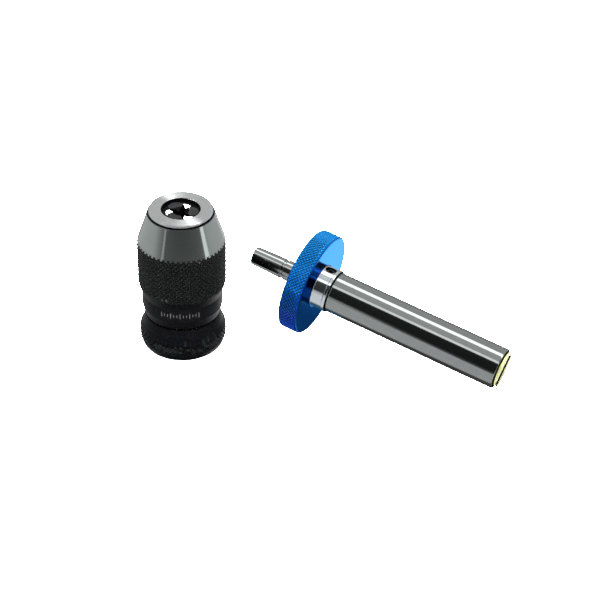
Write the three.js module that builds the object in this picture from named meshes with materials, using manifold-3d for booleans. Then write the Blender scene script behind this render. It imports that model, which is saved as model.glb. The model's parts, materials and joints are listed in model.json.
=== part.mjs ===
// A 0-3 mm keyless drill chuck standing nose up, beside the sensitive-drilling arbor that carries it.
// Millimetres, +Z up, origin at the middle of the underside of the two together.
import * as THREE from 'three';
import { mergeVertices } from 'three/addons/utils/BufferGeometryUtils.js';
import Module from 'manifold-3d';

const wasm = await Module();
wasm.setup();

const DEG = Math.PI / 180;
const GAP = 0.3;            // air left between pieces that are screwed or pressed together
const SLIDE = 0.1;          // radial clearance of sliding fits

// Facets round a turned piece: outside, inside, and round small parts.
const FINE = 40;
const MEDIUM = 20;
const COARSE = 16;

// Arbor, measured along its axis from the finger ring's rear face, towards the shank's tail.
const RING_R = 16;
const RING_WIDTH = 6.2;
const RING_EDGE = 1;        // rounding of the ring's two rims
const SHANK_R = 6.35;
const SHANK_FRONT = 4.85;
const SHANK_TAIL = 60.46;
const TAIL_CHAMFER = 0.5;
const STUB_TIP = -23.1;
const TAPER_TIP_R = 2.92;   // short drill-chuck taper, about 1:20
const TAPER_BIG_R = 3.175;
const TAPER_LENGTH = 10.2;
const ROD_R = 2.9;
const ROD_END = 46.8;
const ROD_TAP_R = 1.7;      // tapped hole in the rod's end
const SHOULDER_R = 4;       // the quill's shoulder that the finger ring's bearing sits against
const SHOULDER_FRONT = -6.6;
const FEED = 12;            // how far the quill slides out of the shank
const COLLAR_R = 6.55;
const COLLAR_LIP_R = 6.8;
const COLLAR_FRONT = -0.3;
const COLLAR_BACK = 4.6;
const SPIGOT_R = 4.5;       // the shank's nose inside the drive collar
const SPIGOT_FRONT = 0.9;
const SCREW_AT = 1.87;      // the dog screw's place along the axis
const SCREW_LEAN = 9.6;     // degrees from straight up, about the axis
const KEYWAY_FLOOR = 1.8;
const KEYWAY_HALF = 1.1;
const GUIDE_END = 18;       // end of the shank's narrow guide bore
const SPRING_BORE_R = 4.6;
const PLUG_R = 5.4;
const PLUG_THREAD_R = 4.8;
const SLOT_TURN = 134 * DEG; // the rear plug's driver slot
const SLOT_HALF = 0.85;
const DISH_R = 8.8;         // floor of the hollow in the ring's rear face
const DISH_DEPTH = 1.3;
const RING_BORE_R = 6.6;
const RING_FRONT_BORE_R = 5.6;
const BEARING_FRONT = -5.3;
const BEARING_BACK = -2.3;

// Chuck, measured up from the floor.
const CHUCK_H = 46.6;
const SLEEVE_R = 13;
const SLEEVE_FOOT = 11.15;
const SLEEVE_TOP = 45.5;
const SLEEVE_FOOT_R = 11.24;
const BAND_R = 12.14;       // the smooth band below the knurl
const BAND_FOOT = 14.25;
const BAND_TOP = 18.6;
const KNURL_FOOT = 22.4;
const CONE_FOOT = 35.6;
const CONE_TOP_R = 9.95;
const SEAM_R = 9.15;        // the sleeve's mouth, under the nose
const CAVITY_R = 11;        // inside the sleeve, round the jaw carrier
const LOWER_CAVITY_R = 10;  // inside the sleeve, round the ball race
const CAVITY_FOOT = 19.7;
const CAVITY_TOP = 36.5;
const BODY_R = 7;
const BODY_FOOT = 0.3;
const BODY_TOP = 24.6;
const FLANGE_R = 9.6;       // the body's collar, which the thrust race bears against
const FLANGE_FOOT = 17.1;
const FLANGE_TOP = 19.1;
const VENT_R = 1.5;         // between the socket and the feed screw's bore
const SCREW_BORE_FOOT = 12.8;
const BACK_RING_R = 12.87;
const BACK_RING_TOP = 10.5;
const SOCKET_DEPTH = 11.1;
const NOSE_R = 9.45;
const NOSE_BORE_R = 5.8;
const NOSE_FLOOR = 45.4;
const GUIDE_FOOT = 35;
const CARRIER_R = 10.6;
const CARRIER_FOOT = 25;
const CARRIER_TOP = 29.4;
const JAW_R = 2.4;
const JAW_SLOPE = 15 * DEG; // between a jaw's axis and the chuck's
const JAW_TIP = 45.7;
const JAW_TIP_OUT = 2.7;    // from the chuck's axis to a jaw's axis, at the tip
const JAW_OPEN_R = 1.5;     // gripping radius as it stands, fully open
const JAW_LAND = 0.2;       // half width of the gripping land
const FIRST_JAW = 27 * DEG;
const FEED_SCREW_R = 4;

// How the two stand on the floor: the arbor rests on its ring and on the tail of its shank.
const CHUCK_FROM_RING = [-34.05, -24.5];
const TILT = Math.atan2(RING_R - SHANK_R, SHANK_TAIL - TAIL_CHAMFER + RING_EDGE);
const RING_HEIGHT = RING_R * Math.cos(TILT) - RING_EDGE * Math.sin(TILT);
const TAIL_REACH = SHANK_TAIL * Math.cos(TILT) + (SHANK_R - TAIL_CHAMFER) * Math.sin(TILT);
const RING_X = -(TAIL_REACH + CHUCK_FROM_RING[0] - SLEEVE_R) / 2;
const RING_Y = -(RING_R + CHUCK_FROM_RING[1] - SLEEVE_R) / 2;

const STEEL = { color: 0x9aa39f, metalness: 1, roughness: 0.22 };
const TURNED = { color: 0xc4cbc8, metalness: 1, roughness: 0.35 };
const BLACK = { color: 0x14161a, metalness: 0.6, roughness: 0.5 };
const BLUE = { color: 0x0a55c8, metalness: 0.8, roughness: 0.35 };
const BRASS = { color: 0xc9b36a, metalness: 1, roughness: 0.3 };
const RACE = { color: 0xb0b4b6, metalness: 1, roughness: 0.15 };
const RUBBER = { color: 0x101010, metalness: 0, roughness: 0.9 };

// ---- solids ----

function solid(geometry) {
  const bare = geometry.index ? geometry.toNonIndexed() : geometry.clone();
  for (const name of Object.keys(bare.attributes)) {
    if (name !== 'position') bare.deleteAttribute(name);
  }
  const merged = mergeVertices(bare, 1e-4);
  const index = merged.index.array;
  const triangles = [];
  for (let i = 0; i < index.length; i += 3) {
    const [a, b, c] = [index[i], index[i + 1], index[i + 2]];
    if (a !== b && b !== c && c !== a) triangles.push(a, b, c);
  }
  return new wasm.Manifold(new wasm.Mesh({
    numProp: 3,
    vertProperties: new Float32Array(merged.attributes.position.array),
    triVerts: new Uint32Array(triangles),
  }));
}

function geometryOf(manifold) {
  const mesh = manifold.getMesh();
  const geometry = new THREE.BufferGeometry();
  geometry.setAttribute('position', new THREE.BufferAttribute(mesh.vertProperties, 3));
  geometry.setIndex(new THREE.BufferAttribute(mesh.triVerts, 1));
  geometry.computeVertexNormals();
  return geometry;
}

// A solid of revolution about Z. The outline holds [radius, height] points, closed by itself or by the axis.
function turned(outline, segments = MEDIUM) {
  const points = outline.map(([r, h]) => new THREE.Vector2(r, h));
  if (THREE.ShapeUtils.area(points) < 0) points.reverse();
  const onAxis = points[0].x === 0 && points.at(-1).x === 0;
  if (!onAxis) points.push(points[0].clone());
  return solid(new THREE.LatheGeometry(points, segments).rotateX(Math.PI / 2));
}

function ring(inner, outer, foot, top, segments = MEDIUM) {
  return turned([[inner, foot], [outer, foot], [outer, top], [inner, top]], segments);
}

// A box between two corners, turned about Z.
function block(low, high, turn = 0) {
  const size = high.map((value, i) => value - low[i]);
  const middle = high.map((value, i) => (value + low[i]) / 2);
  return solid(new THREE.BoxGeometry(...size).translate(...middle).rotateZ(turn));
}

// A quarter-round corner of an outline, from one angle to another about its centre.
function corner(r, h, radius, from, to, steps = 2) {
  return Array.from({ length: steps + 1 }, (_, i) => {
    const angle = (from + (to - from) * i / steps) * DEG;
    return [r + radius * Math.cos(angle), h + radius * Math.sin(angle)];
  });
}

// Balls held in a flat cage, all as one piece.
function ballCage(pitchRadius, ballRadius, count, foot, top) {
  const height = (foot + top) / 2;
  let cage = ring(pitchRadius - 0.35, pitchRadius + 0.35, height - 0.3, height + 0.3);
  for (let i = 0; i < count; i += 1) {
    const angle = i / count * 2 * Math.PI;
    const ball = new THREE.IcosahedronGeometry(ballRadius);
    ball.translate(pitchRadius * Math.cos(angle), pitchRadius * Math.sin(angle), height);
    cage = cage.add(solid(ball));
  }
  return cage;
}

// A cylinder along a radius: out from one distance to another, at a height, in a direction about Z.
function radialPin(radius, from, to, height, angle, segments = COARSE) {
  const pin = new THREE.CylinderGeometry(radius, radius, to - from, segments);
  pin.rotateZ(-Math.PI / 2).translate((from + to) / 2, 0, height).rotateZ(angle);
  return solid(pin);
}

function add(group, name, manifold, look) {
  const mesh = new THREE.Mesh(geometryOf(manifold), new THREE.MeshStandardMaterial(look));
  mesh.name = name;
  group.add(mesh);
}

// ---- arbor ----

const UP = 180 * DEG;       // the arbor's group turns its own -X upwards
const SCREW_TURN = UP - SCREW_LEAN * DEG;

function shank() {
  const plugSeat = SHANK_TAIL - 1.8;
  const body = turned([
    [ROD_R + SLIDE, SPIGOT_FRONT], [SPIGOT_R, SPIGOT_FRONT], [SPIGOT_R, SHANK_FRONT],
    [SHANK_R - 0.3, SHANK_FRONT], [SHANK_R, SHANK_FRONT + 0.3], [SHANK_R, SHANK_TAIL - TAIL_CHAMFER],
    [SHANK_R - TAIL_CHAMFER, SHANK_TAIL], [PLUG_R + GAP, SHANK_TAIL], [PLUG_R + GAP, plugSeat],
    [PLUG_THREAD_R + GAP, plugSeat], [PLUG_THREAD_R + GAP, plugSeat - 4.6],
    [SPRING_BORE_R, plugSeat - 4.6], [SPRING_BORE_R, GUIDE_END], [ROD_R + SLIDE, GUIDE_END],
  ], 36);
  return body.subtract(radialPin(1.2, 2, SPIGOT_R + 1, SCREW_AT, SCREW_TURN));
}

function rearPlug() {
  const seat = SHANK_TAIL - 1.5;
  const face = SHANK_TAIL - 0.1;
  const plug = turned([
    [0, seat - 4], [PLUG_THREAD_R, seat - 4], [PLUG_THREAD_R, seat], [PLUG_R, seat],
    [PLUG_R, face - 0.2], [PLUG_R - 0.2, face], [0, face],
  ]);
  return plug.subtract(block([-6, -SLOT_HALF, face - 1.1], [6, SLOT_HALF, face + 1], SLOT_TURN));
}

function driveCollar() {
  const collar = turned([
    [ROD_R + GAP, COLLAR_FRONT], [COLLAR_R - 0.25, COLLAR_FRONT], [COLLAR_R, COLLAR_FRONT + 0.25],
    [COLLAR_R, COLLAR_BACK - 1], [COLLAR_LIP_R, COLLAR_BACK - 0.8], [COLLAR_LIP_R, COLLAR_BACK - 0.2],
    [COLLAR_LIP_R - 0.2, COLLAR_BACK], [SPIGOT_R + GAP, COLLAR_BACK],
    [SPIGOT_R + GAP, SPIGOT_FRONT - GAP], [ROD_R + GAP, SPIGOT_FRONT - GAP],
  ], 36);
  return collar.subtract(radialPin(1.55, 4, COLLAR_R + 1, SCREW_AT, SCREW_TURN));
}

function dogScrew() {
  const point = radialPin(0.85, KEYWAY_FLOOR + 0.2, 5, SCREW_AT, SCREW_TURN, 12);
  const head = radialPin(1.3, 4.9, 5.9, SCREW_AT, SCREW_TURN);
  const socket = radialPin(0.75, 5.3, 7, SCREW_AT, SCREW_TURN, 6);
  return point.add(head).subtract(socket);
}

function quill() {
  const grooveFront = STUB_TIP + TAPER_LENGTH;
  const body = turned([
    [0, STUB_TIP], [TAPER_TIP_R - 0.45, STUB_TIP], [TAPER_TIP_R, STUB_TIP + 0.45],
    [TAPER_BIG_R, grooveFront], [TAPER_BIG_R - 0.25, grooveFront + 0.1],
    [TAPER_BIG_R - 0.25, grooveFront + 0.8], [TAPER_BIG_R, grooveFront + 0.9],
    [TAPER_BIG_R, SHOULDER_FRONT - 0.3], [SHOULDER_R, SHOULDER_FRONT],
    [SHOULDER_R, BEARING_FRONT - GAP], [ROD_R, BEARING_FRONT - GAP], [ROD_R, -2], [2.5, -2], [2.5, -1.4],
    [ROD_R, -1.4], [ROD_R, ROD_END], [ROD_TAP_R, ROD_END], [ROD_TAP_R, ROD_END - 6], [0, ROD_END - 7],
  ]);
  const keyway = block(
    [KEYWAY_FLOOR, -KEYWAY_HALF, 0.5], [ROD_R + 1.1, KEYWAY_HALF, SCREW_AT + FEED + 1.5], SCREW_TURN,
  );
  return body.subtract(keyway);
}

function springRetainer() {
  return ring(1.7, 4.2, ROD_END + 0.1, ROD_END + 1.5);
}

function retainerScrew() {
  const seat = ROD_END + 1.6;
  const screw = turned([
    [0, ROD_END - 4.5], [1.4, ROD_END - 4.5], [1.4, seat], [2.6, seat], [2.6, seat + 1.6], [0, seat + 1.6],
  ], COARSE);
  return screw.subtract(block([-3, -0.35, seat + 0.8], [3, 0.35, seat + 3]));
}

class Helix extends THREE.Curve {
  constructor(radius, turns, from, to) {
    super();
    Object.assign(this, { radius, turns, from, to });
  }

  getPoint(t, target = new THREE.Vector3()) {
    const angle = t * this.turns * 2 * Math.PI;
    const height = this.from + (this.to - this.from) * t;
    return target.set(this.radius * Math.cos(angle), this.radius * Math.sin(angle), height);
  }
}

function returnSpring() {
  const wire = new THREE.Shape().absarc(0, 0, 0.42, 0, 2 * Math.PI);
  const turns = 7;
  const path = new Helix(3.75, turns, GUIDE_END + 0.8, ROD_END - 0.6);
  const spring = new THREE.ExtrudeGeometry(wire, { steps: turns * 10, curveSegments: 3, extrudePath: path });
  return solid(spring);
}

function fingerRing() {
  const front = -RING_WIDTH;
  const flat = RING_R - RING_EDGE;
  return turned([
    [RING_FRONT_BORE_R, front], ...corner(flat, front + RING_EDGE, RING_EDGE, -90, 0),
    ...corner(flat, -RING_EDGE, RING_EDGE, 0, 90), [DISH_R + 1.5, 0], [DISH_R + 0.5, -0.4],
    [DISH_R, -DISH_DEPTH], [RING_BORE_R, -DISH_DEPTH], [RING_BORE_R, -1.6], [RING_BORE_R + 0.4, -1.6],
    [RING_BORE_R + 0.4, -2.2], [RING_BORE_R, -2.2], [RING_BORE_R, BEARING_FRONT - 0.1],
    [RING_FRONT_BORE_R, BEARING_FRONT - 0.1],
  ], FINE);
}

function buildArbor() {
  const arbor = new THREE.Group();
  add(arbor, 'shank', shank(), STEEL);
  add(arbor, 'rear_plug', rearPlug(), BRASS);
  add(arbor, 'drive_collar', driveCollar(), TURNED);
  add(arbor, 'dog_screw', dogScrew(), BLACK);
  add(arbor, 'return_spring', returnSpring(), RACE);
  add(arbor, 'quill', quill(), STEEL);
  add(arbor, 'spring_retainer', springRetainer(), BLACK);
  add(arbor, 'retainer_screw', retainerScrew(), BLACK);
  add(arbor, 'finger_ring', fingerRing(), BLUE);
  add(arbor, 'bearing_inner_race', ring(3, 4.05, BEARING_FRONT, BEARING_BACK), RACE);
  add(arbor, 'bearing_outer_race', ring(5.45, 6.45, BEARING_FRONT, BEARING_BACK), RACE);
  add(arbor, 'bearing_ball_cage', ballCage(4.75, 0.6, 9, BEARING_FRONT, BEARING_BACK), BRASS);
  add(arbor, 'bearing_circlip', ring(5.7, 6.85, -2.1, -1.7), BLACK);
  add(arbor, 'bearing_snap_ring', ring(2.65, 3.8, -1.9, -1.5), BLACK);
  arbor.rotation.y = Math.PI / 2 + TILT;
  arbor.position.set(RING_X, RING_Y, RING_HEIGHT);
  return arbor;
}

// ---- chuck ----

function chuckBody() {
  return turned([
    [TAPER_BIG_R, BODY_FOOT], [BODY_R, BODY_FOOT], [BODY_R, FLANGE_FOOT], [FLANGE_R, FLANGE_FOOT],
    [FLANGE_R, FLANGE_TOP], [BODY_R, FLANGE_TOP], [BODY_R, BODY_TOP], [FEED_SCREW_R + GAP, BODY_TOP],
    [FEED_SCREW_R + GAP, SCREW_BORE_FOOT], [VENT_R, SCREW_BORE_FOOT], [VENT_R, SCREW_BORE_FOOT - 0.9],
    [TAPER_TIP_R, SCREW_BORE_FOOT - 0.9], [TAPER_TIP_R, SOCKET_DEPTH],
  ]);
}

function backRing() {
  return turned([
    [BODY_R + GAP, 0], [11.4, 0], [11.95, 0.5], [12.6, 1.9], [BACK_RING_R, 3.4], [BACK_RING_R, 5.2],
    [12.6, 6.4], [12.0, 7.7], [11.55, 8.9], [11.3, BACK_RING_TOP], [BODY_R + GAP, BACK_RING_TOP],
  ], FINE);
}

function outerSleeve() {
  return turned([
    [LOWER_CAVITY_R, SLEEVE_FOOT], [SLEEVE_FOOT_R, SLEEVE_FOOT], [BAND_R, BAND_FOOT], [BAND_R, BAND_TOP],
    [SLEEVE_R, KNURL_FOOT], [SLEEVE_R, CONE_FOOT], [CONE_TOP_R, SLEEVE_TOP], [SEAM_R, SLEEVE_TOP],
    [CAVITY_R, CAVITY_TOP], [CAVITY_R, CAVITY_FOOT], [LOWER_CAVITY_R, CAVITY_FOOT],
  ], FINE);
}

// Everything that a jaw's round stock fills as it slides, at a given clearance.
function jawStock(clearance, turn) {
  const length = 44;
  const stock = new THREE.CylinderGeometry(JAW_R + clearance, JAW_R + clearance, length, 24);
  stock.rotateX(Math.PI / 2).rotateY(-JAW_SLOPE).translate(JAW_TIP_OUT, 0, JAW_TIP).rotateZ(turn);
  return solid(stock);
}

function jawGuide() {
  const rim = 0.45;
  let guide = turned([
    [1.9, GUIDE_FOOT], [CAVITY_R - GAP, GUIDE_FOOT], [CAVITY_R - GAP, CAVITY_TOP - 0.1],
    [SEAM_R - GAP, SLEEVE_TOP - 0.1], [SEAM_R - GAP, SLEEVE_TOP + 0.3], [NOSE_R, SLEEVE_TOP + 0.3],
    ...corner(NOSE_R - rim, CHUCK_H - rim, rim, 0, 90),
    [NOSE_BORE_R + 0.1, CHUCK_H], [NOSE_BORE_R, CHUCK_H - 0.1], [NOSE_BORE_R, NOSE_FLOOR], [1.9, NOSE_FLOOR],
  ], 36);
  for (let i = 0; i < 3; i += 1) guide = guide.subtract(jawStock(0.15, FIRST_JAW + i * 120 * DEG));
  return guide;
}

function jaw(index) {
  const turn = FIRST_JAW + index * 120 * DEG;
  const reach = 12;
  const spread = JAW_LAND + reach * Math.tan(58 * DEG);
  const wedge = new THREE.Shape([
    new THREE.Vector2(JAW_OPEN_R, -JAW_LAND),
    new THREE.Vector2(JAW_OPEN_R + reach, -spread),
    new THREE.Vector2(JAW_OPEN_R + reach, spread),
    new THREE.Vector2(JAW_OPEN_R, JAW_LAND),
  ]);
  const foot = CARRIER_FOOT + 1.2;
  const span = new THREE.ExtrudeGeometry(wedge, { depth: JAW_TIP - foot, bevelEnabled: false });
  span.translate(0, 0, foot).rotateZ(turn);
  const leadIn = turned([[0, JAW_TIP - 2.2], [JAW_OPEN_R + 1, JAW_TIP + 0.1], [0, JAW_TIP + 0.1]]);
  let piece = jawStock(0, turn).intersect(solid(span)).subtract(leadIn);
  for (const side of [-1, 1]) {
    const neck = [side * 0.9, side * 4].sort((a, b) => a - b);
    const head = [side * 1.5, side * 4].sort((a, b) => a - b);
    piece = piece.subtract(block([0, neck[0], 27.7], [14, neck[1], 29.7], turn));
    piece = piece.subtract(block([0, head[0], foot - 1], [14, head[1], 27.8], turn));
  }
  return piece;
}

function jawCarrier() {
  let carrier = ring(2.1, CARRIER_R, CARRIER_FOOT, CARRIER_TOP, 40);
  for (let i = 0; i < 3; i += 1) {
    const turn = FIRST_JAW + i * 120 * DEG;
    carrier = carrier.subtract(block([2.9, -1.8, CARRIER_FOOT + 1], [14, 1.8, 27.95], turn));
    carrier = carrier.subtract(block([2.9, -1.15, 27.9], [14, 1.15, CARRIER_TOP + 1], turn));
  }
  return carrier;
}

function feedScrew() {
  return turned([
    [0, 13.4], [FEED_SCREW_R - 0.5, 13.4], [FEED_SCREW_R, 13.9], [FEED_SCREW_R, CARRIER_FOOT - GAP],
    [1.8, CARRIER_FOOT - GAP], [1.8, CARRIER_TOP - 0.2], [0, CARRIER_TOP - 0.2],
  ]);
}

function lockRing() {
  const piece = ring(BODY_R + 0.4, LOWER_CAVITY_R - GAP, 11.4, 13.3);
  return piece.subtract(block([-12, -0.8, 11], [12, 0.8, 12.1]));
}

function buildChuck() {
  const chuck = new THREE.Group();
  add(chuck, 'chuck_body', chuckBody(), STEEL);
  add(chuck, 'back_ring', backRing(), BLACK);
  add(chuck, 'upper_race', ring(BODY_R + 0.2, 9.5, 16.1, 16.8), RACE);
  add(chuck, 'thrust_ball_cage', ballCage(8.5, 0.7, 12, 14.5, 16), BRASS);
  add(chuck, 'dust_seal', ring(BODY_R + 0.4, 10.6, 10.6, 11.05), RUBBER);
  add(chuck, 'outer_sleeve', outerSleeve(), BLACK);
  add(chuck, 'jaw_guide', jawGuide(), TURNED);
  add(chuck, 'sleeve_lock_ring', lockRing(), BLACK);
  add(chuck, 'lower_race', ring(BODY_R + 0.4, LOWER_CAVITY_R - GAP, 13.6, 14.4), RACE);
  add(chuck, 'jaw_carrier', jawCarrier(), STEEL);
  add(chuck, 'feed_screw', feedScrew(), STEEL);
  for (let i = 0; i < 3; i += 1) add(chuck, `jaw_${i + 1}`, jaw(i), BLACK);
  chuck.position.set(RING_X + CHUCK_FROM_RING[0], RING_Y + CHUCK_FROM_RING[1], 0);
  return chuck;
}

const model = new THREE.Group();
model.add(buildArbor());
model.add(buildChuck());

export default model;
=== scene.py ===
import json
import math

import bmesh
import bpy
from mathutils import Matrix, Vector


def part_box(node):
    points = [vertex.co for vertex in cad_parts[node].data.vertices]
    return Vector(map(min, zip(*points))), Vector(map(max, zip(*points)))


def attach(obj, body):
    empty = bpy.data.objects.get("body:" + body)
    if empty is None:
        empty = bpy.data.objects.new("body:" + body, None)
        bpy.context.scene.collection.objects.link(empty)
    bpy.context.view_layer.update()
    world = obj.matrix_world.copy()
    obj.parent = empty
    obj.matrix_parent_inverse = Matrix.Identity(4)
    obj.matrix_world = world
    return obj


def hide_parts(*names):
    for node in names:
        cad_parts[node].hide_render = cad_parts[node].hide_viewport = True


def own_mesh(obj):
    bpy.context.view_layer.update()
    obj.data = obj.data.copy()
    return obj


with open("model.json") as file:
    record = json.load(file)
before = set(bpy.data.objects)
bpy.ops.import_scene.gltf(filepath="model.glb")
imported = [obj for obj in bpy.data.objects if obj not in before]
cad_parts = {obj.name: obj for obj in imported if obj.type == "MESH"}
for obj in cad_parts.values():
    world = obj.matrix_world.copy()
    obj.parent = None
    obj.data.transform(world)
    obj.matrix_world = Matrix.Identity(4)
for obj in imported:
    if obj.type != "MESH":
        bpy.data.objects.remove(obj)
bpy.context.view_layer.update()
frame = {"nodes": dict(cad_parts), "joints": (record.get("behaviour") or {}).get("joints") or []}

# A keyless drill chuck standing nose up, beside its sensitive-drilling arbor.
# Outlines are in millimetres: (radius, height) along each piece's own axis. MM turns them into metres.
MM = 0.001
FINE = 256               # facets round the large turned pieces
SMALL = 96               # facets round the small ones
SHARP_EDGE = math.radians(30)
ROUNDING_STEPS = 4       # between the two ends of a rounded corner
BOX_FACES = [(0, 1, 3, 2), (4, 6, 7, 5), (0, 4, 5, 1), (2, 3, 7, 6), (0, 2, 6, 4), (1, 5, 7, 3)]

JOINTS = {joint["name"]: joint for joint in frame["joints"]}

# The chuck's heights and radii, from the floor and its axis.
SLEEVE_R = 13.2          # over the knurl's raised points
SLEEVE_FOOT = 11.15
SLEEVE_TOP = 45.5
SLEEVE_TOP_R = 9.95
SLEEVE_POINTS = 54       # of the knurl, once round
KNURL_FOOT = 22.4
CONE_FOOT = 35.6
BAND_R = 12.14
BAND_FOOT = 14.25
BAND_TOP = 18.6
MARKS_TURN = -63         # degrees round to the middle of the band's marks
BACK_R = 13.1
BACK_KNURL_TOP = 5.9
NOSE_R = 9.45
NOSE_TOP = 46.6
NOSE_BORE_R = 5.8
NOSE_FLOOR = 45.4
HUB_FLOOR = 45.0         # round the nose's lands
LAND_R = 4.3
JAW_R = 2.4
JAW_SLOPE = math.radians(15)
JAW_TIP = Vector((2.7, 0, 45.7))
JAW_TURNS = [math.radians(27 + 120 * i) for i in range(3)]

# The arbor's, from the finger ring's rear face towards the shank's tail.
RING_R = 16.0
RING_WIDTH = 6.2
RING_EDGE = 1.0
RING_POINTS = 84
SHANK_R = 6.35
SHANK_FRONT = 4.85
SHANK_TAIL = 60.46
PLUG_BRIM = SHANK_TAIL + 0.45
PLUG_FACE = 61.3
STUB_TIP = -23.1
TAPER_TIP_R = 2.92
TAPER_BIG_R = 3.175
TAPER_END = STUB_TIP + 10.2
ROD_R = 2.9
SCREW_AT = 1.87
SCREW_TURN = math.pi - math.radians(9.6)
SLOT_TURN = math.radians(134)
RING_SPIN_AT = -3.0      # where the ring's joint lies along the arbor
SPRING_R = 3.75          # to the middle of the wire
SPRING_WIRE_R = 0.42
SPRING_TURNS = 7
SPRING_FOOT = 18.8
SPRING_TOP = 46.2


def chuck_frame():
    x, y, _ = JOINTS["sleeve_turn"]["pos_m"]
    return Matrix.Translation((x, y, 0))


def arbor_frame():
    """Z along the arbor to its tail, Y as the row's, X downwards."""
    joint = JOINTS["finger_ring_spin"]
    z = Vector(joint["axis"]).normalized()
    y = Vector((0, 1, 0))
    x = y.cross(z)
    origin = Vector(joint["pos_m"]) - z * RING_SPIN_AT * MM
    turn = Matrix((x, y, z)).transposed().to_4x4()
    return Matrix.Translation(origin) @ turn


CHUCK = chuck_frame()
ARBOR = arbor_frame()


# ---- shapes ----

def beside(edge):
    """A short step along edge."""
    return edge * min(0.04, 0.03 / edge.length)


def softened(outline, radius):
    """A closed outline with its corners rounded. A point may carry its own radius as a third number.

    A close pair of points at each end of a rounding keeps the faces beside it flat in smooth shading.
    """
    points = [Vector(p[:2]) for p in outline]
    radii = [p[2] if len(p) > 2 else radius for p in outline]
    result = []
    for i, point in enumerate(points):
        before = points[i - 1] - point
        after = points[(i + 1) % len(points)] - point
        opening = before.angle(after, math.pi)
        if point.x == 0 or radii[i] == 0 or opening > math.radians(175):
            result.append(point)
            continue
        reach = radii[i] / math.tan(opening / 2)
        reach = min(reach, before.length * 0.45, after.length * 0.45)
        start = point + before.normalized() * reach
        end = point + after.normalized() * reach
        result.append(start + beside(before))
        for k in range(ROUNDING_STEPS + 1):
            t = k / ROUNDING_STEPS
            result.append(start * (1 - t) ** 2 + point * 2 * t * (1 - t) + end * t ** 2)
        result.append(end + beside(after))
    return result


def mesh_of(vertices, faces):
    mesh = bpy.data.meshes.new("shape")
    mesh.from_pydata([Vector(v) * MM for v in vertices], [], faces)
    solid = bmesh.new()
    solid.from_mesh(mesh)
    bmesh.ops.remove_doubles(solid, verts=solid.verts, dist=1e-7)
    bmesh.ops.recalc_face_normals(solid, faces=solid.faces)
    solid.to_mesh(mesh)
    solid.free()
    return mesh


def turned(outline, segments=FINE, radius=0.08):
    """A closed solid of revolution about Z."""
    profile = softened(outline, radius)
    count = len(profile)
    vertices = []
    for i in range(segments):
        angle = 2 * math.pi * i / segments
        vertices += [(p.x * math.cos(angle), p.x * math.sin(angle), p.y) for p in profile]
    faces = []
    for i in range(segments):
        here, there = i * count, (i + 1) % segments * count
        for k in range(count):
            k2 = (k + 1) % count
            if profile[k].x == 0 and profile[k2].x == 0:
                continue
            corners = [here + k, there + k, there + k2, here + k2]
            if profile[k].x == 0:
                corners.pop(1)
            elif profile[k2].x == 0:
                corners.pop(2)
            faces.append(corners)
    return mesh_of(vertices, faces)


def knurled(radius, depth, foot, top, count):
    """A closed cylinder of diamond points: one pyramid to each cell between two crossing sets of grooves."""
    pitch = 2 * math.pi / count
    rows = max(2, round((top - foot) / (radius * pitch / 2)))
    vertices = []
    for row in range(rows + 1):
        z = foot + (top - foot) * row / rows
        for i in range(2 * count):
            valley = (i + row) % 2 == 0
            r = radius - depth if valley else radius
            angle = i * pitch / 2
            vertices.append((r * math.cos(angle), r * math.sin(angle), z))
    ring = 2 * count

    def at(row, i):
        return row * ring + i % ring

    faces = []
    for row in range(rows + 1):
        for i in range(ring):
            if (i + row) % 2 == 0:
                continue
            if row < rows:
                faces.append((at(row, i), at(row, i + 1), at(row + 1, i)))
                faces.append((at(row, i), at(row + 1, i), at(row, i - 1)))
            if row > 0:
                faces.append((at(row, i), at(row - 1, i), at(row, i + 1)))
                faces.append((at(row, i), at(row, i - 1), at(row - 1, i)))
    for row, z in ((0, foot), (rows, top)):
        centre = len(vertices)
        vertices.append((0, 0, z))
        for i in range(ring):
            faces.append((at(row, i), at(row, i + 1), centre))
    return mesh_of(vertices, faces)


def rod(radius, length, segments):
    """A plain cylinder about Z, from the origin up."""
    return turned([(0, 0), (radius, 0), (radius, length), (0, length)], segments, 0)


def block(low, high):
    """An oblong block between two opposite corners."""
    corners = [(x, y, z) for x in (low[0], high[0]) for y in (low[1], high[1]) for z in (low[2], high[2])]
    return mesh_of(corners, BOX_FACES)


def moved(mesh, *steps):
    for step in steps:
        mesh.transform(step)
    return mesh


def shift(x, y, z):
    return Matrix.Translation(Vector((x, y, z)) * MM)


def spin(angle, axis="Z"):
    return Matrix.Rotation(angle, 4, axis)


def new_object(name, data):
    item = bpy.data.objects.new(name, data)
    bpy.context.scene.collection.objects.link(item)
    return item


def cut(mesh, tool, operation="DIFFERENCE"):
    """mesh with tool taken away, joined on, or the part that they share. Faces keep their materials."""
    body = new_object("body", mesh)
    other = new_object("tool", tool)
    step = body.modifiers.new("cut", "BOOLEAN")
    step.object = other
    step.operation = operation
    step.solver = "MANIFOLD"
    result = bpy.data.meshes.new_from_object(body.evaluated_get(bpy.context.evaluated_depsgraph_get()))
    for item in (body, other):
        bpy.data.objects.remove(item)
    return result


def paint(mesh, materials, rule=None):
    """Gives mesh its materials. rule takes a face's middle and normal in millimetres and returns an index."""
    kept = [face.material_index for face in mesh.polygons]
    mesh.materials.clear()
    for material in materials:
        mesh.materials.append(material)
    for face, index in zip(mesh.polygons, kept):
        face.material_index = min(index, len(materials) - 1)
        if rule:
            face.material_index = rule(face.center / MM, face.normal)
    return mesh


def whole(middle, normal):
    """The rule that gives every face the second material."""
    return 1


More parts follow.
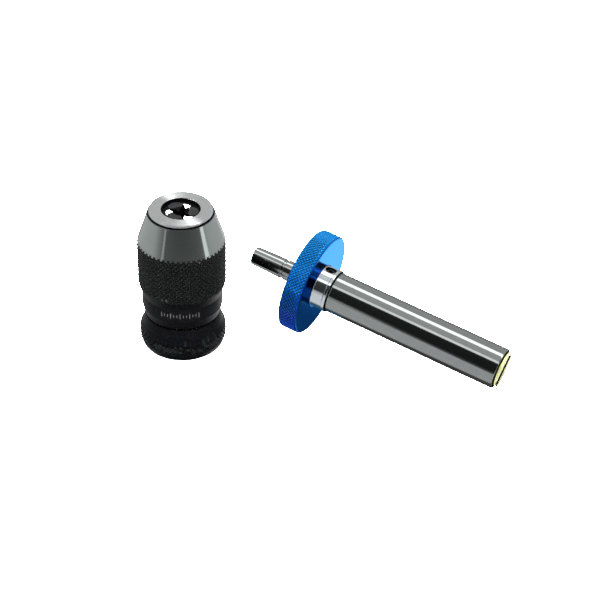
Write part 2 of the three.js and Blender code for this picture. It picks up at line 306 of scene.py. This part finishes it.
def place(name, mesh, body, where, nodes):
    """Puts a finished piece in the scene, smooth except at its sharp edges."""
    mesh.name = name
    mesh.shade_smooth()
    mesh.set_sharp_from_angle(angle=SHARP_EDGE)
    piece = new_object(name, mesh)
    piece.matrix_world = where
    bpy.context.view_layer.update()
    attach(piece, body)
    if nodes:
        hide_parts(*nodes)
    return piece


# ---- materials ----

BUMP_DEPTH = 0.00002     # metres


class Tree:
    """The nodes of a material or of the world."""

    def __init__(self, owner):
        owner.use_nodes = True
        self.nodes = owner.node_tree.nodes
        self.links = owner.node_tree.links

    def feed(self, socket, value):
        if hasattr(value, "links"):
            self.links.new(value, socket)
        else:
            socket.default_value = value

    def math(self, operation, first, second=0.0):
        node = self.nodes.new("ShaderNodeMath")
        node.operation = operation
        self.feed(node.inputs[0], first)
        self.feed(node.inputs[1], second)
        return node.outputs[0]


class Shader(Tree):
    """A material whose Principled shader is fed by a few procedural nodes in the piece's own coordinates."""

    def __init__(self, name, **sockets):
        self.material = bpy.data.materials.new(name)
        super().__init__(self.material)
        self.shader = self.nodes["Principled BSDF"]
        for socket, value in sockets.items():
            self.shader.inputs[socket.replace("_", " ")].default_value = value
        self.coords = self.nodes.new("ShaderNodeTexCoord").outputs["Object"]

    def colour(self, value):
        self.feed(self.shader.inputs["Base Color"], value)

    def rough(self, value):
        self.feed(self.shader.inputs["Roughness"], value)

    def noise(self, scale, detail=4, rough=0.6, stretch=(1, 1, 1), source=None):
        mapping = self.nodes.new("ShaderNodeMapping")
        mapping.inputs["Scale"].default_value = stretch
        self.links.new(source or self.coords, mapping.inputs["Vector"])
        noise = self.nodes.new("ShaderNodeTexNoise")
        noise.inputs["Scale"].default_value = scale
        noise.inputs["Detail"].default_value = detail
        noise.inputs["Roughness"].default_value = rough
        self.links.new(mapping.outputs[0], noise.inputs["Vector"])
        return noise.outputs["Fac"]

    def polar(self):
        """Distance from the axis, height, and turn about the axis, as one vector in metres and radians."""
        split = self.nodes.new("ShaderNodeSeparateXYZ")
        self.links.new(self.coords, split.inputs[0])
        x, y, z = split.outputs
        squares = self.math("ADD", self.math("MULTIPLY", x, x), self.math("MULTIPLY", y, y))
        radius = self.math("POWER", squares, 0.5)
        turn = self.math("ARCTAN2", y, x)
        join = self.nodes.new("ShaderNodeCombineXYZ")
        for socket, value in zip(join.inputs, (radius, z, turn)):
            self.links.new(value, socket)
        return join.outputs[0]

    def range(self, value, low, high, start=0.0, end=1.0):
        node = self.nodes.new("ShaderNodeMapRange")
        for socket, number in zip(node.inputs[1:5], (start, end, low, high)):
            socket.default_value = number
        self.links.new(value, node.inputs[0])
        return node.outputs[0]

    def mix(self, factor, first, second):
        node = self.nodes.new("ShaderNodeMix")
        node.data_type = "RGBA"
        self.feed(node.inputs[0], factor)
        for socket, colour in zip(node.inputs[6:8], (first, second)):
            self.feed(socket, colour if hasattr(colour, "links") else (*colour, 1))
        return node.outputs[2]

    def edges(self):
        """1 on convex edges and points, 0.5 on flats, 0 in creases."""
        geometry = self.nodes.new("ShaderNodeNewGeometry")
        return geometry.outputs["Pointiness"]

    def bump(self, height, strength):
        node = self.nodes.new("ShaderNodeBump")
        node.inputs["Strength"].default_value = strength
        node.inputs["Distance"].default_value = BUMP_DEPTH
        self.links.new(height, node.inputs["Height"])
        self.links.new(node.outputs[0], self.shader.inputs["Normal"])

    def painted_mirror_shade(self, colour):
        """colour, but a painted dark blue in reflections, as the finger ring's rear face shows this piece:
        painted shade.
        """
        mirrored = self.nodes.new("ShaderNodeLightPath").outputs["Is Glossy Ray"]
        return self.mix(mirrored, colour, (0.04, 0.13, 0.32))

    def around(self):
        """Spreads the shine across tool marks that run round the piece's axis."""
        self.shader.inputs["Anisotropic Rotation"].default_value = 0.25
        node = self.nodes.new("ShaderNodeTangent")
        node.direction_type = "RADIAL"
        node.axis = "Z"
        self.links.new(node.outputs[0], self.shader.inputs["Tangent"])


def ground_steel():
    s = Shader("ground_steel", Metallic=1.0, Anisotropic=0.6)
    lines = s.noise(900, 3, 0.6, (6, 6, 0.25), s.polar())
    cloud = s.noise(500, 4, 0.6)
    steel = s.mix(cloud, (0.36, 0.39, 0.385), (0.465, 0.49, 0.485))
    # In reflections the shank is painted dark blue: painted shade.
    s.colour(s.painted_mirror_shade(steel))
    s.rough(s.range(lines, 0.06, 0.14))
    s.bump(lines, 0.1)
    s.around()
    return s.material


def turned_steel(name, low, high, strength, spread):
    """Fine tool marks run round the axis, so flat faces shine in opposite fans."""
    s = Shader(name, Metallic=1.0, Anisotropic=spread)
    marks = s.noise(500, 3, 0.7, (16, 16, 0.02), s.polar())
    cloud = s.noise(160, 4, 0.6)
    s.colour(s.mix(cloud, (0.82, 0.86, 0.84), (0.92, 0.95, 0.94)))
    s.rough(s.range(marks, low, high))
    s.bump(marks, strength)
    s.around()
    return s.material


def bright_collar():
    """Fine turned and bright."""
    s = Shader("bright_collar", Metallic=1.0, Anisotropic=0.6)
    marks = s.noise(500, 3, 0.7, (16, 16, 0.03), s.polar())
    cloud = s.noise(200, 4, 0.6)
    steel = s.mix(cloud, (0.80, 0.88, 0.93), (0.90, 0.96, 1.0))
    # In reflections the collar is painted dark blue: painted shade.
    s.colour(s.painted_mirror_shade(steel))
    s.rough(s.range(marks, 0.08, 0.16))
    s.bump(marks, 0.02)
    s.around()
    return s.material


def bright_cone():
    s = Shader("bright_cone", Metallic=1.0, Anisotropic=0.5)
    marks = s.noise(500, 3, 0.6, (10, 20, 0.05), s.polar())
    cloud = s.noise(120, 4, 0.6)
    s.colour(s.mix(cloud, (0.365, 0.41, 0.395), (0.435, 0.475, 0.46)))
    s.rough(s.range(marks, 0.07, 0.12))
    s.bump(marks, 0.08)
    s.around()
    return s.material


def black_oxide(name, low, high, roughness, shine, wear_and_crease_shade):
    s = Shader(name, Metallic=0.0, Specular_IOR_Level=shine)
    grain = s.noise(2500, 4, 0.7)
    cloud = s.noise(220, 4, 0.6)
    wear = s.range(s.edges(), 0.0, 1.0, 0.52, 0.66)
    base = s.mix(cloud, low, high)
    s.colour(s.mix(wear, base, (wear_and_crease_shade, wear_and_crease_shade * 1.1, wear_and_crease_shade * 1.15)))
    s.rough(s.range(grain, roughness - 0.08, roughness + 0.08))
    s.bump(grain, 0.15)
    return s.material


def blue_anodised(name, low, high, roughness, marks_strength, metal, groove):
    """Dyed aluminium, with painted light: facets that look up are painted a paler blue, as where light falls
    from above.

    Creases are painted darker, as shade; groove is the share of the colour that they keep.
    """
    s = Shader(name, Metallic=metal, Anisotropic=0.3, Specular_Tint=(0.5, 0.8, 1.0, 1), Coat_Weight=0.15,
               Coat_Roughness=0.08)
    marks = s.noise(500, 3, 0.7, (14, 14, 0.02), s.polar())
    cloud = s.noise(180, 4, 0.6)
    split = s.nodes.new("ShaderNodeSeparateXYZ")
    s.links.new(s.nodes.new("ShaderNodeNewGeometry").outputs["Normal"], split.inputs[0])
    # Painted light: facets that face up get the high colour, those that face down the low one.
    dye_and_painted_light = s.mix(s.range(split.outputs[2], 0.0, 1.0, 0.2, 0.95), low, high)
    # Painted shade: creases keep only the share groove of the colour.
    wear_and_crease_shade = s.range(s.edges(), groove, 1.0, 0.44, 0.54)
    dye_and_painted_light = s.mix(s.math("MULTIPLY", wear_and_crease_shade, s.range(cloud, 0.8, 1.0)), (0, 0, 0), dye_and_painted_light)
    s.colour(dye_and_painted_light)
    s.rough(s.range(marks, roughness - 0.05, roughness + 0.07))
    s.bump(marks, marks_strength)
    s.around()
    return s.material


def brass():
    s = Shader("brass", Metallic=0.9, Anisotropic=0.8)
    marks = s.noise(500, 3, 0.7, (16, 16, 0.02), s.polar())
    cloud = s.noise(300, 4, 0.6)
    s.colour(s.mix(cloud, (0.30, 0.30, 0.12), (0.52, 0.54, 0.22)))
    s.rough(s.range(marks, 0.22, 0.36))
    s.bump(marks, 0.3)
    s.around()
    return s.material


def plain_steel(name, low, high, roughness, metal=1.0):
    s = Shader(name, Metallic=metal)
    grain = s.noise(1800, 4, 0.6)
    cloud = s.noise(250, 3, 0.6)
    s.colour(s.mix(cloud, low, high))
    s.rough(s.range(grain, roughness - 0.06, roughness + 0.08))
    s.bump(grain, 0.1)
    return s.material


def seal_rubber():
    s = Shader("seal_rubber", Roughness=0.8)
    grain = s.noise(3000, 4, 0.6)
    s.colour(s.mix(grain, (0.012, 0.012, 0.012), (0.03, 0.03, 0.03)))
    s.bump(grain, 0.3)
    return s.material


def mark_paint():
    s = Shader("mark_paint", Roughness=0.6)
    grain = s.noise(2500, 4, 0.7)
    s.colour(s.mix(grain, (0.006, 0.006, 0.007), (0.02, 0.02, 0.022)))
    return s.material


GROUND = ground_steel()
TURNED = turned_steel("turned_steel", 0.18, 0.30, 0.25, 0.95)
FACED = turned_steel("faced_steel", 0.32, 0.40, 0.10, 1.0)
COLLAR = bright_collar()
CONE = bright_cone()
KNURL = black_oxide("black_knurl", (0.0003, 0.0004, 0.0004), (0.0010, 0.0012, 0.0012), 0.58, 0.3, 0.02)
BLACK = black_oxide("black_band", (0.0002, 0.0002, 0.0003), (0.0006, 0.0006, 0.0009), 0.36, 0.06, 0.002)
# Black for bores, gaps, holes, the plug's slot and the jaws' sides: painted shade.
PAINTED_SHADE_BLACK = black_oxide("painted_shade_black", (0.0002, 0.0002, 0.0002), (0.0006, 0.0006, 0.0006), 0.6, 0.03, 0.001)
# Each blue's first colour goes on facets that face down and its second on those that face up: painted light.
BLUE_FACE = blue_anodised("blue_face", (0.003, 0.26, 0.78), (0.010, 0.28, 0.80), 0.13, 0.02, 1.0, 1.0)
BLUE_KNURL = blue_anodised("blue_knurl", (0.002, 0.045, 0.45), (0.014, 0.38, 1.0), 0.22, 0.05, 0.98, 0.75)
BRASS = brass()
JAW_STEEL = plain_steel("jaw_steel", (0.05, 0.055, 0.06), (0.12, 0.125, 0.13), 0.36)
# Near-white, half-diffuse steel on the tops of the nose's lands: a painted highlight.
LAND_PAINTED_HIGHLIGHT = plain_steel("land_painted_highlight", (0.90, 0.93, 0.92), (0.97, 0.99, 0.98), 0.5, 0.5)
BEARING_STEEL = plain_steel("bearing_steel", (0.60, 0.61, 0.62), (0.70, 0.71, 0.72), 0.16)
DARK_STEEL = plain_steel("dark_steel", (0.05, 0.05, 0.055), (0.09, 0.09, 0.10), 0.35)
RUBBER = seal_rubber()
MARKS = mark_paint()


# ---- chuck ----

def outer_sleeve():
    body = turned([
        (10.0, SLEEVE_FOOT), (11.3, SLEEVE_FOOT, 0.25), (BAND_R, BAND_FOOT, 0.6), (BAND_R, BAND_TOP, 0.4),
        (SLEEVE_R, KNURL_FOOT, 0.3), (SLEEVE_R, CONE_FOOT, 0.2), (SLEEVE_TOP_R, SLEEVE_TOP, 0.15),
        (9.15, SLEEVE_TOP), (11.0, 36.5), (11.0, 19.7), (10.0, 19.7),
    ])

    # The cone is ground bright and the rest is black oxide; the flat top land under the nose ring is painted
    # black too, as the seam's shade.
    def finish_and_seam_shade(p, n):
        return 2 if p.z > CONE_FOOT and n.z < 0.7 and math.hypot(p.x, p.y) > 9.4 else 1

    paint(body, [KNURL, BLACK, CONE], finish_and_seam_shade)
    points = knurled(SLEEVE_R + 0.04, 0.42, 8, 50, SLEEVE_POINTS)
    paint(points, [KNURL, BLACK, CONE])
    return cut(body, points, "INTERSECT")


def straighten_cone(mesh):
    """Gives the cone its exact normals, so that its shine runs unbroken up to the knurl's teeth."""
    slope = math.atan2(SLEEVE_R - SLEEVE_TOP_R, SLEEVE_TOP - CONE_FOOT)
    normals = [corner.vector.copy() for corner in mesh.corner_normals]
    for face in mesh.polygons:
        if face.material_index != 2 or face.normal.z < 0.1 or face.normal.z > 0.5:
            continue
        for i in face.loop_indices:
            p = mesh.vertices[mesh.loops[i].vertex_index].co
            out = Vector((p.x, p.y, 0)).normalized()
            if p.z < (SLEEVE_TOP - 0.3) * MM:
                normals[i] = out * math.cos(slope) + Vector((0, 0, math.sin(slope)))
    mesh.normals_split_custom_set(normals)


def jaw_stock(clearance):
    """The round stock of a jaw, sloped as it slides, long enough to cut its bore with."""
    length = 30
    stock = rod(JAW_R + clearance, 2 * length, 64)
    return moved(stock, shift(0, 0, -length), spin(-JAW_SLOPE, "Y"), shift(*JAW_TIP))


def jaw_guide():
    """The nose ring and the hub that the three jaws slide through. Its bore and the seam under the nose ring
    are painted black as shade, and the lands are painted near-white as highlights.
    """
    steels = [FACED, PAINTED_SHADE_BLACK, LAND_PAINTED_HIGHLIGHT]
    guide = turned([
        (1.9, 35), (10.7, 35), (10.7, 36.4), (8.85, 45.3), (8.85, 45.8), (NOSE_R, 45.8, 0.1),
        (NOSE_R, NOSE_TOP, 0.4), (NOSE_BORE_R, NOSE_TOP, 0.2), (NOSE_BORE_R, HUB_FLOOR),
        (1.9, HUB_FLOOR, 0.25),
    ])

    # Painted shade: the bore's wall and everything below the nose ring's underside.
    def shade(p, n):
        bore = math.hypot(p.x, p.y) < NOSE_BORE_R + 0.02 and p.z < NOSE_TOP - 0.22
        return int(bore or p.z < 45.95)

    paint(guide, steels, shade)
    lands = turned([(1.9, 44.5), (LAND_R, 44.5), (LAND_R, NOSE_FLOOR, 0.15), (1.9, NOSE_FLOOR, 0.25)])
    # The lands' tops get the painted highlight, their sides the painted shade.
    paint(lands, steels, lambda p, n: 2 if n.z > 0.3 else 1)
    for turn in JAW_TURNS:
        relief = moved(rod(1.5, 4, 48), shift(4.9, 0, 44.4), spin(turn + math.radians(36)))
        lands = cut(lands, paint(relief, steels, whole))
    guide = cut(guide, lands, "UNION")
    for turn in JAW_TURNS:
        stock = paint(jaw_stock(0.15), steels, whole)
        guide = cut(guide, moved(stock, spin(turn)))
    return paint(guide, steels)


def jaw():
    """Round stock ground to a wedge towards the chuck's axis, with a countersunk tip."""
    land, reach, foot = 0.2, 12.0, 29.7
    spread = land + reach * math.tan(math.radians(58))
    plan = [(1.5, -land), (1.5 + reach, -spread), (1.5 + reach, spread), (1.5, land)]
    low = [(x, y, foot) for x, y in plan]
    high = [(x, y, JAW_TIP.z) for x, y in plan]
    wedge = mesh_of(low + high, [(3, 2, 1, 0), (4, 5, 6, 7)] + [
        (i, (i + 1) % 4, 4 + (i + 1) % 4, 4 + i) for i in range(4)])
    piece = cut(jaw_stock(0), wedge, "INTERSECT")
    # The jaw's sides and its countersink are painted black: painted shade inside the bore.
    paint(piece, [JAW_STEEL, PAINTED_SHADE_BLACK], lambda p, n: int(n.z < 0.9))
    lead_in = turned([(0, 43.5), (2.5, 45.8), (0, 45.8)], SMALL, 0)
    return cut(piece, paint(lead_in, [JAW_STEEL, PAINTED_SHADE_BLACK], whole))


def back_ring():
    body = turned([
        (7.3, 0), (11.5, 0, 0.4), (12.3, 0.6, 0.6), (BACK_R, 3.0, 1.2), (BACK_R, 5.4, 1.5),
        (12.1, 7.7, 2.0), (11.3, 10.5, 0.2), (7.3, 10.5),
    ])
    paint(body, [BLACK])
    points = knurled(BACK_R, 0.36, -1, BACK_KNURL_TOP, SLEEVE_POINTS)
    paint(points, [BLACK])
    above = turned([(0, BACK_KNURL_TOP), (15, BACK_KNURL_TOP), (15, 12), (0, 12)], SMALL, 0)
    paint(above, [BLACK])
    return cut(body, cut(points, above, "UNION"), "INTERSECT")


def chuck_body():
    return paint(turned([
        (3.175, 0.3, 0.15), (7.0, 0.3, 0.2), (7.0, 17.1), (9.6, 17.1), (9.6, 19.1), (7.0, 19.1), (7.0, 24.6),
        (4.3, 24.6), (4.3, 12.8), (1.5, 12.8), (1.5, 11.9), (2.92, 11.9), (2.92, 11.1),
    ], SMALL), [TURNED])


def size_marks():
    """A plain ring of short strokes on the smooth band, every third one longer."""
    vertices, faces = [], []
    height = (BAND_FOOT + BAND_TOP) / 2
    radius = BAND_R + 0.012
    half_width = 0.13 / radius
    for i in range(13):
        middle = math.radians(MARKS_TURN + (i - 6) * 4.5)
        tall = 1.7 if i % 3 == 0 else 1.0
        first = len(vertices)
        for z in (height - tall / 2, height + tall / 2):
            for r in (radius - 0.2, radius):
                for side in (-1, 1):
                    angle = middle + side * half_width
                    vertices.append((r * math.cos(angle), r * math.sin(angle), z))
        faces += [tuple(first + k for k in face) for face in BOX_FACES]
    return mesh_of(vertices, faces)


def make_chuck():
    sleeve = place("sleeve_shell", outer_sleeve(), "sleeve", CHUCK, ["outer_sleeve"])
    straighten_cone(sleeve.data)
    place("nose_guide", jaw_guide(), "sleeve", CHUCK, ["jaw_guide"])
    for i, turn in enumerate(JAW_TURNS):
        name = f"jaw_{i + 1}"
        shape = moved(jaw(), spin(turn))
        place(f"ground_{name}", paint(shape, [JAW_STEEL, PAINTED_SHADE_BLACK]), name, CHUCK, [name])
    place("flange_ring", back_ring(), "chuck_base", CHUCK, ["back_ring"])
    place("socket_body", chuck_body(), "chuck_base", CHUCK, ["chuck_body"])
    place("band_marks", paint(size_marks(), [MARKS]), "sleeve", CHUCK, [])


# ---- arbor ----

def shank():
    body = turned([
        (3.0, 0.9), (4.5, 0.9), (4.5, SHANK_FRONT), (SHANK_R, SHANK_FRONT, 0.35),
        (SHANK_R, SHANK_TAIL, 0.5), (5.7, SHANK_TAIL), (5.7, 58.66), (5.1, 58.66), (5.1, 54.06), (4.6, 54.06),
        (4.6, 18), (3.0, 18),
    ])
    ends = (SHANK_FRONT + 0.02, SHANK_TAIL - 0.03)

    # The front end, the bore at the tail and the tail's end face are painted black: painted shade in the gaps
    # at the collar and the plug.
    def dark(p, n):
        return int(p.z < ends[0] or p.z > 54 and math.hypot(p.x, p.y) < 5.8 or p.z > ends[1])

    return paint(body, [GROUND, PAINTED_SHADE_BLACK], dark)


def rear_plug():
    """The end plug, which stands a little proud of the shank, with a screwdriver slot."""
    plug = turned([
        (0, 54.96), (4.8, 54.96), (4.8, 58.96), (5.3, 58.96), (5.3, PLUG_BRIM), (5.8, PLUG_BRIM),
        (5.8, PLUG_FACE, 0.1), (0, PLUG_FACE),
    ])
    slot = moved(block((-7, -1.7, PLUG_FACE - 2), (7, 1.7, PLUG_FACE + 1)), spin(SLOT_TURN))
    # The neck under the plug's head and the slot's faces are painted black: painted shade.
    paint(plug, [BRASS, PAINTED_SHADE_BLACK], lambda p, n: int(p.z < PLUG_BRIM + 0.01))
    return cut(plug, paint(slot, [BRASS, PAINTED_SHADE_BLACK], whole))


def drive_collar():
    collar = turned([
        (3.2, -0.3), (6.55, -0.3, 0.3), (6.55, 3.5, 0.1), (6.8, 3.7, 0.1), (6.8, 4.6, 0.2), (4.8, 4.6),
        (4.8, 0.6), (3.2, 0.6),
    ])
    hole = moved(rod(1.8, 4, 64), shift(0, 0, 4.4), spin(math.pi / 2, "Y"))
    moved(hole, shift(0, 0, SCREW_AT), spin(SCREW_TURN))
    # The rear face by the shank and the screw hole are painted black: painted shade in the gap and the hole.
    paint(collar, [COLLAR, PAINTED_SHADE_BLACK], lambda p, n: int(p.z > 4.5 and n.z > 0.9))
    return cut(collar, paint(hole, [COLLAR, PAINTED_SHADE_BLACK], whole))


def quill():
    body = turned([
        (0, STUB_TIP), (TAPER_TIP_R, STUB_TIP, 0.5), (TAPER_BIG_R, TAPER_END, 0.1),
        (TAPER_BIG_R - 0.25, TAPER_END + 0.1), (TAPER_BIG_R - 0.25, TAPER_END + 0.8),
        (TAPER_BIG_R, TAPER_END + 0.9, 0.1), (TAPER_BIG_R, -6.9), (4.0, -6.6, 0.1), (4.0, -5.6),
        (ROD_R, -5.6), (ROD_R, -2), (2.5, -2), (2.5, -1.4), (ROD_R, -1.4), (ROD_R, 46.8),
        (1.7, 46.8), (1.7, 40.8), (0, 39.8),
    ], 128)
    keyway = moved(block((1.8, -1.1, 0.5), (4, 1.1, 15.4)), spin(SCREW_TURN))
    return paint(cut(body, keyway), [GROUND])


def return_spring():
    """A coil spring about Z, of round wire with flat cut ends."""
    sides, steps = 10, 36    # round the wire and round a turn
    rise = (SPRING_TOP - SPRING_FOOT) / (2 * math.pi * SPRING_TURNS)
    tilt = math.atan2(rise, SPRING_R)
    vertices, faces = [], []
    for i in range(SPRING_TURNS * steps + 1):
        angle = 2 * math.pi * i / steps
        out = Vector((math.cos(angle), math.sin(angle), 0))
        across = Vector((math.sin(angle) * math.sin(tilt), -math.cos(angle) * math.sin(tilt), math.cos(tilt)))
        middle = out * SPRING_R + Vector((0, 0, SPRING_FOOT + rise * angle))
        for k in range(sides):
            round_wire = 2 * math.pi * k / sides
            offset = out * math.cos(round_wire) + across * math.sin(round_wire)
            vertices.append(middle + offset * SPRING_WIRE_R)
    last = SPRING_TURNS * steps * sides
    for first in range(0, last, sides):
        for k in range(sides):
            k2 = (k + 1) % sides
            faces.append((first + k, first + k2, first + sides + k2, first + sides + k))
    faces += [tuple(range(sides)), tuple(range(last, last + sides))]
    return mesh_of(vertices, faces)


def finger_ring():
    body = turned([
        (5.6, -RING_WIDTH), (RING_R, -RING_WIDTH, RING_EDGE), (RING_R, 0, RING_EDGE), (6.9, 0, 0.2),
        (6.6, -0.3), (6.6, -1.6), (7, -1.6), (7, -2.2), (6.6, -2.2), (6.6, -5.4), (5.6, -5.4),
    ])
    paint(body, [BLUE_KNURL, BLUE_FACE], lambda p, n: int(abs(n.z) > 0.9))
    points = knurled(RING_R + 0.05, 0.30, -RING_WIDTH - 1, 1, RING_POINTS)
    paint(points, [BLUE_KNURL, BLUE_FACE])
    return cut(body, points, "INTERSECT")


def make_arbor():
    tube = place("ground_shank", shank(), "arbor", ARBOR, ["shank"])
    plug = place("slotted_plug", rear_plug(), "arbor", ARBOR, ["rear_plug"])
    place("collar", drive_collar(), "arbor", ARBOR, ["drive_collar"])
    place("taper_quill", quill(), "quill", ARBOR, ["quill"])
    ring = place("knurled_ring", finger_ring(), "finger_ring", ARBOR, ["finger_ring"])
    ring.visible_glossy = False
    for piece in (tube, plug, ring):
        piece.visible_shadow = False
    wire = paint(return_spring(), [BEARING_STEEL])
    spring = place("coil_spring", wire, "arbor", ARBOR, ["return_spring"])
    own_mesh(spring)


def dress_inner_nodes():
    """The pieces inside keep their CAD shapes and get their metals here."""
    looks = {
        "dog_screw": DARK_STEEL, "spring_retainer": DARK_STEEL, "retainer_screw": DARK_STEEL,
        "bearing_inner_race": BEARING_STEEL, "bearing_outer_race": BEARING_STEEL, "bearing_ball_cage": BRASS,
        "bearing_circlip": DARK_STEEL, "bearing_snap_ring": DARK_STEEL, "upper_race": BEARING_STEEL,
        "thrust_ball_cage": BRASS, "dust_seal": RUBBER, "sleeve_lock_ring": DARK_STEEL,
        "lower_race": BEARING_STEEL, "jaw_carrier": DARK_STEEL, "feed_screw": DARK_STEEL,
    }
    for name, material in looks.items():
        for slot in frame["nodes"][name].material_slots:
            slot.material = material


# ---- studio ----

CAMERA_TURN = math.radians(26.83)   # about Z, from looking along +Y
CAMERA_DIP = math.radians(35.78)
CAMERA_ROLL = math.radians(1.29)
CAMERA_AT = Vector((0.2006, -0.4130, 0.3501))
LENS = 114.6             # millimetres, on a sensor 36 wide


def make_camera():
    data = bpy.data.cameras.new("camera")
    data.sensor_width = 36
    data.lens = LENS
    camera = new_object("camera", data)
    turn = Matrix.Rotation(CAMERA_TURN, 4, "Z") @ Matrix.Rotation(math.pi / 2 - CAMERA_DIP, 4, "X")
    camera.matrix_world = Matrix.Translation(CAMERA_AT) @ turn @ Matrix.Rotation(CAMERA_ROLL, 4, "Z")
    bpy.context.scene.camera = camera


def make_floor():
    """A pale table. Polished metal shows the room's own lower half instead, which is darker."""
    mesh = bpy.data.meshes.new("floor")
    half = 3.0
    corners = [(-half, -half, 0), (half, -half, 0), (half, half, 0), (-half, half, 0)]
    mesh.from_pydata(corners, [], [(0, 1, 2, 3)])
    floor = new_object("floor", mesh)
    s = Shader("pale_floor", Roughness=0.6)
    s.colour(s.mix(s.noise(6, 2), (0.90, 0.90, 0.90), (0.92, 0.92, 0.92)))
    mesh.materials.append(s.material)
    floor.visible_glossy = False


def towards(turn, height):
    """The direction turn degrees right of the camera's side of the object and height degrees up."""
    angle = CAMERA_TURN - math.pi / 2 + math.radians(turn)
    rise = math.radians(height)
    return Vector((math.cos(angle) * math.cos(rise), math.sin(angle) * math.cos(rise), math.sin(rise)))


# How bright the room is. ROOM_LIGHT multiplies the levels below and those of the panels.
ROOM_LIGHT = 1.5
FAR_WALL = (0.18, 0.34)      # at the table and higher up
NEAR_WALL = (0.095, 0.012)   # the dark side, behind the camera
TABLE_FAR = 0.44
TABLE_NEAR = 0.40
TABLE_END = 0.28
TABLE_BELOW = 0.06
CEILING = 0.38
BACKDROP = 1.1               # what the camera itself sees past the table

# Soft panels: where they stand (degrees right of the camera's side, degrees up), half width, half height and
# softness in degrees, then brightness. The last is the well lit part of the table behind the arbor.
PANELS = [
    ((145, 67, 18, 6, 5), 1.7),
    ((-35, 66, 30, 4, 3), 0.95),
    ((69, 2, 4, 10, 3), 0.9),
    ((112, 70, 6, 5, 3), 6.0),
    ((-44, 0, 2, 8, 2), 0.36),
    ((140, -42, 14, 12, 8), 1.05),
]


class Room(Tree):
    """The room round the table: a dark side behind the camera, grey walls, and soft panels."""

    def __init__(self):
        self.world = bpy.data.worlds.new("studio")
        super().__init__(self.world)
        self.way = self.nodes.new("ShaderNodeTexCoord").outputs["Generated"]

    def along(self, direction):
        node = self.nodes.new("ShaderNodeVectorMath")
        node.operation = "DOT_PRODUCT"
        self.links.new(self.way, node.inputs[0])
        node.inputs[1].default_value = direction
        return node.outputs["Value"]

    def ramp(self, value, start, end, low=0.0, high=1.0):
        node = self.nodes.new("ShaderNodeMapRange")
        node.interpolation_type = "SMOOTHSTEP"
        for socket, number in zip(node.inputs[1:5], (start, end, low, high)):
            socket.default_value = number
        self.links.new(value, node.inputs[0])
        return node.outputs[0]

    def mix(self, factor, low, high):
        """low where factor is 0, high where it is 1."""
        step = self.math("MULTIPLY", factor, self.math("SUBTRACT", high, low))
        return self.math("ADD", low, step)

    def patch(self, turn, height, wide, tall, soft):
        """1 inside an oblong panel that faces the object, 0 outside it. Sizes are half angles in degrees."""
        middle = towards(turn, height)
        side = towards(turn + 90, 0)
        rise = side.cross(middle)
        inside = self.ramp(self.along(middle), 0.0, 0.1)
        for direction, half in ((side, wide), (rise, tall)):
            size = math.sin(math.radians(half))
            edge = math.sin(math.radians(half + soft))
            offset = self.math("ABSOLUTE", self.along(direction))
            inside = self.math("MULTIPLY", inside, self.ramp(offset, edge, size))
        return inside

    def build(self):
        """height is 1 straight up. facing is 1 towards the middle of the dark side and -1 away from it."""
        height = self.along((0, 0, 1))
        level = self.math("POWER", self.math("SUBTRACT", 1.0, self.math("MULTIPLY", height, height)), 0.5)
        facing = self.math("DIVIDE", self.along(towards(8, 0)), level)
        dark_side = self.ramp(facing, 0.46, 0.64)
        far = self.ramp(height, 0.0, 0.35, *FAR_WALL)
        near = self.ramp(height, 0.0, 0.13, *NEAR_WALL)
        wall = self.mix(dark_side, far, near)
        table = self.mix(self.ramp(facing, -0.9, 0.6), TABLE_FAR, TABLE_NEAR)
        table = self.mix(self.ramp(facing, -0.8, -0.96), table, TABLE_END)
        table = self.mix(self.ramp(height, -0.84, -0.93), table, TABLE_BELOW)
        light = self.mix(self.ramp(height, -0.09, -0.03), table, wall)
        light = self.mix(self.ramp(height, 0.84, 0.88), light, CEILING)
        for panel, strength in PANELS:
            light = self.mix(self.patch(*panel), light, strength)
        seen = self.nodes.new("ShaderNodeLightPath").outputs["Is Camera Ray"]
        light = self.mix(seen, self.math("MULTIPLY", light, ROOM_LIGHT), BACKDROP)
        background = self.nodes["Background"]
        self.links.new(light, background.inputs["Color"])
        background.inputs["Strength"].default_value = 1.0
        bpy.context.scene.world = self.world


def shade_card():
    """The shadow under the arbor, seen only in reflections: wider and bluer up to the collar, then plain."""
    mesh = bpy.data.meshes.new("shade_card")
    low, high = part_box("shank")
    middle, half = (low.y + high.y) / 2, (high.y - low.y) / 2
    start, waist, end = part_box("finger_ring")[0].x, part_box("drive_collar")[1].x, high.x
    near = middle - half - 1.6 * MM
    far = middle + half
    widest = far + 10 * MM
    lift = 0.00002
    corners = [(start, near), (waist, near), (waist, far), (start, widest), (end, near), (end, far)]
    mesh.from_pydata([(x, y, lift) for x, y in corners], [], [(0, 1, 2, 3), (1, 4, 5, 2)])
    card = new_object("shade_card", mesh)
    for name, dark, pale in (
        ("ring_shade", (0.003, 0.009, 0.015), (0.004, 0.012, 0.020)),
        ("shank_shade", (0.004, 0.004, 0.004), (0.007, 0.007, 0.007)),
    ):
        s = Shader(name, Roughness=1.0, Specular_IOR_Level=0.0)
        s.colour(s.mix(s.noise(60, 2), dark, pale))
        mesh.materials.append(s.material)
    mesh.polygons[1].material_index = 1
    card.visible_camera = False
    card.visible_diffuse = False
    card.visible_shadow = False


def overhead():
    """A wide soft lamp above that lights the table and the coloured coats."""
    data = bpy.data.lights.new("overhead", "AREA")
    data.shape = "DISK"
    data.size = 2.4
    data.energy = 600
    lamp = new_object("overhead", data)
    lamp.location = (0, 0, 1.2)
    lamp.visible_glossy = False


def make_studio():
    make_camera()
    make_floor()
    shade_card()
    Room().build()
    overhead()
    bpy.context.scene.view_settings.view_transform = "Standard"


make_chuck()
make_arbor()
dress_inner_nodes()
make_studio()
